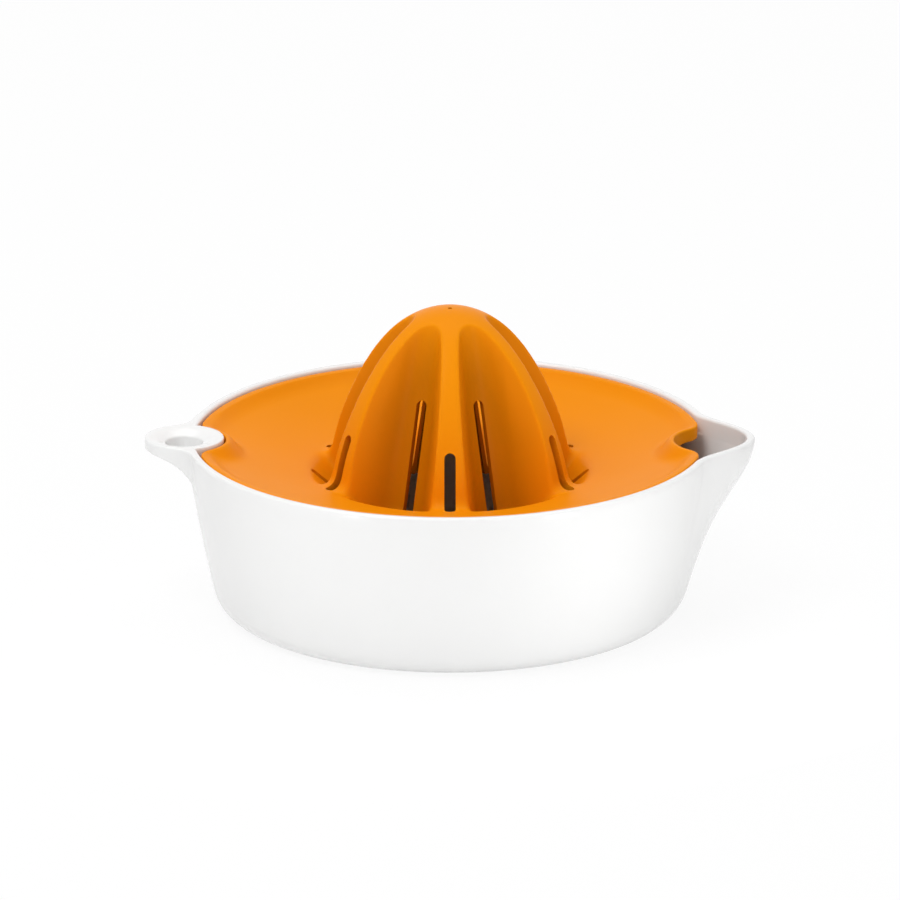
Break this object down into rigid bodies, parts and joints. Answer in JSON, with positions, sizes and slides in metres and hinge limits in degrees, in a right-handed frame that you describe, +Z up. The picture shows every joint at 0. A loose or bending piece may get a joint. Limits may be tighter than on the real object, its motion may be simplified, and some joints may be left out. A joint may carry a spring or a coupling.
{
  "type": "citrus juicer",
  "caption": "Hand citrus juicer: a fluted reamer and strainer dish seated in a round pouring bowl with a spout and a hanging ring.",
  "frame": {"origin": "centre of the bowl's foot, on the surface that it stands on", "axes": "+Z up along the bowl's axis, +X towards the pouring spout, the hanging ring on -X"},
  "size_m": [0.1844, 0.16, 0.0945],
  "materials": {
    "white_gloss": "gloss",
    "orange_satin": "satin"
  },
  "bodies": {
    "bowl": {"bowl": "white_gloss"},
    "insert": {"reamer_insert": "orange_satin"}
  },
  "joints": [
    {"name": "insert_lift", "type": "slide", "parent": "bowl", "child": "insert", "axis": [0, 0, 1], "range_m": [0, 0.08]}
  ]
}
